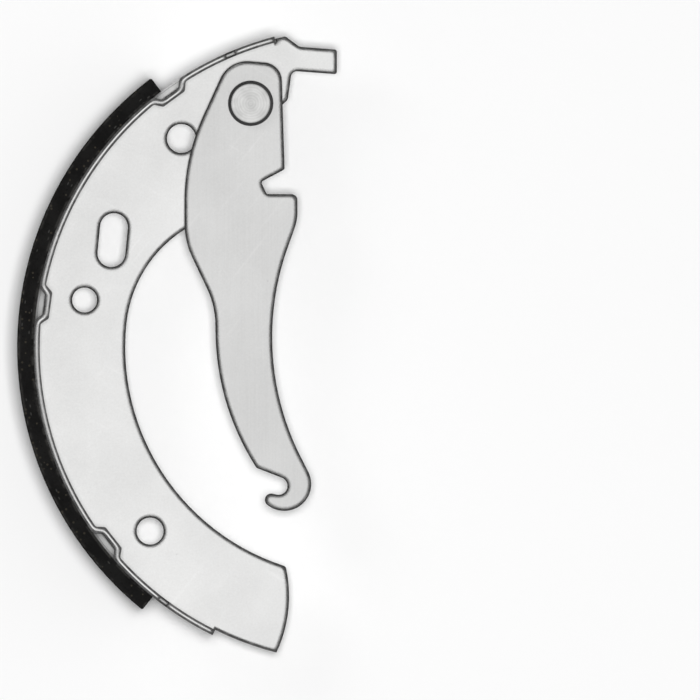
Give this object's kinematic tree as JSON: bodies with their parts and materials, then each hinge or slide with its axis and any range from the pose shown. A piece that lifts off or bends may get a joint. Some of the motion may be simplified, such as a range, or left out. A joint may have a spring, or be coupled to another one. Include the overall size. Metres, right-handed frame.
{
  "type": "brake shoe",
  "caption": "Curved drum brake shoe with bonded lining, pressed rim, flat web with tongue and foot, and a pinned hand-brake lever with a cable hook.",
  "frame": {"origin": "on the drum's axis, halfway through the thickness of the web", "axes": "+Z along the drum's axis towards the lever's side, +Y along the shoe from foot to tongue, +X from the lining towards the drum's axis; the shoe lies flat on the rim's -Z edge"},
  "size_m": [0.0961, 0.1851, 0.04],
  "materials": {
    "lining": "matt friction material, resin-bonded, lightly ground",
    "shoe_steel": "pale grey satin paint over pressed steel",
    "lever_steel": "grey satin coating over stamped steel",
    "pin_steel": "turned steel, satin",
    "spring_steel": "phosphated spring steel"
  },
  "bodies": {
    "shoe": {"lining": "lining", "rim": "shoe_steel", "web": "shoe_steel", "pivot_pin": "pin_steel", "spring_washer": "spring_steel", "retaining_clip": "spring_steel"},
    "hand_brake_lever": {"lever": "lever_steel"}
  },
  "joints": [
    {"name": "lever_pivot", "type": "hinge", "parent": "shoe", "child": "hand_brake_lever", "pos_m": [-0.03129, 0.07336, 0], "axis": [0, 0, 1], "range_deg": [-30, 125]}
  ]
}
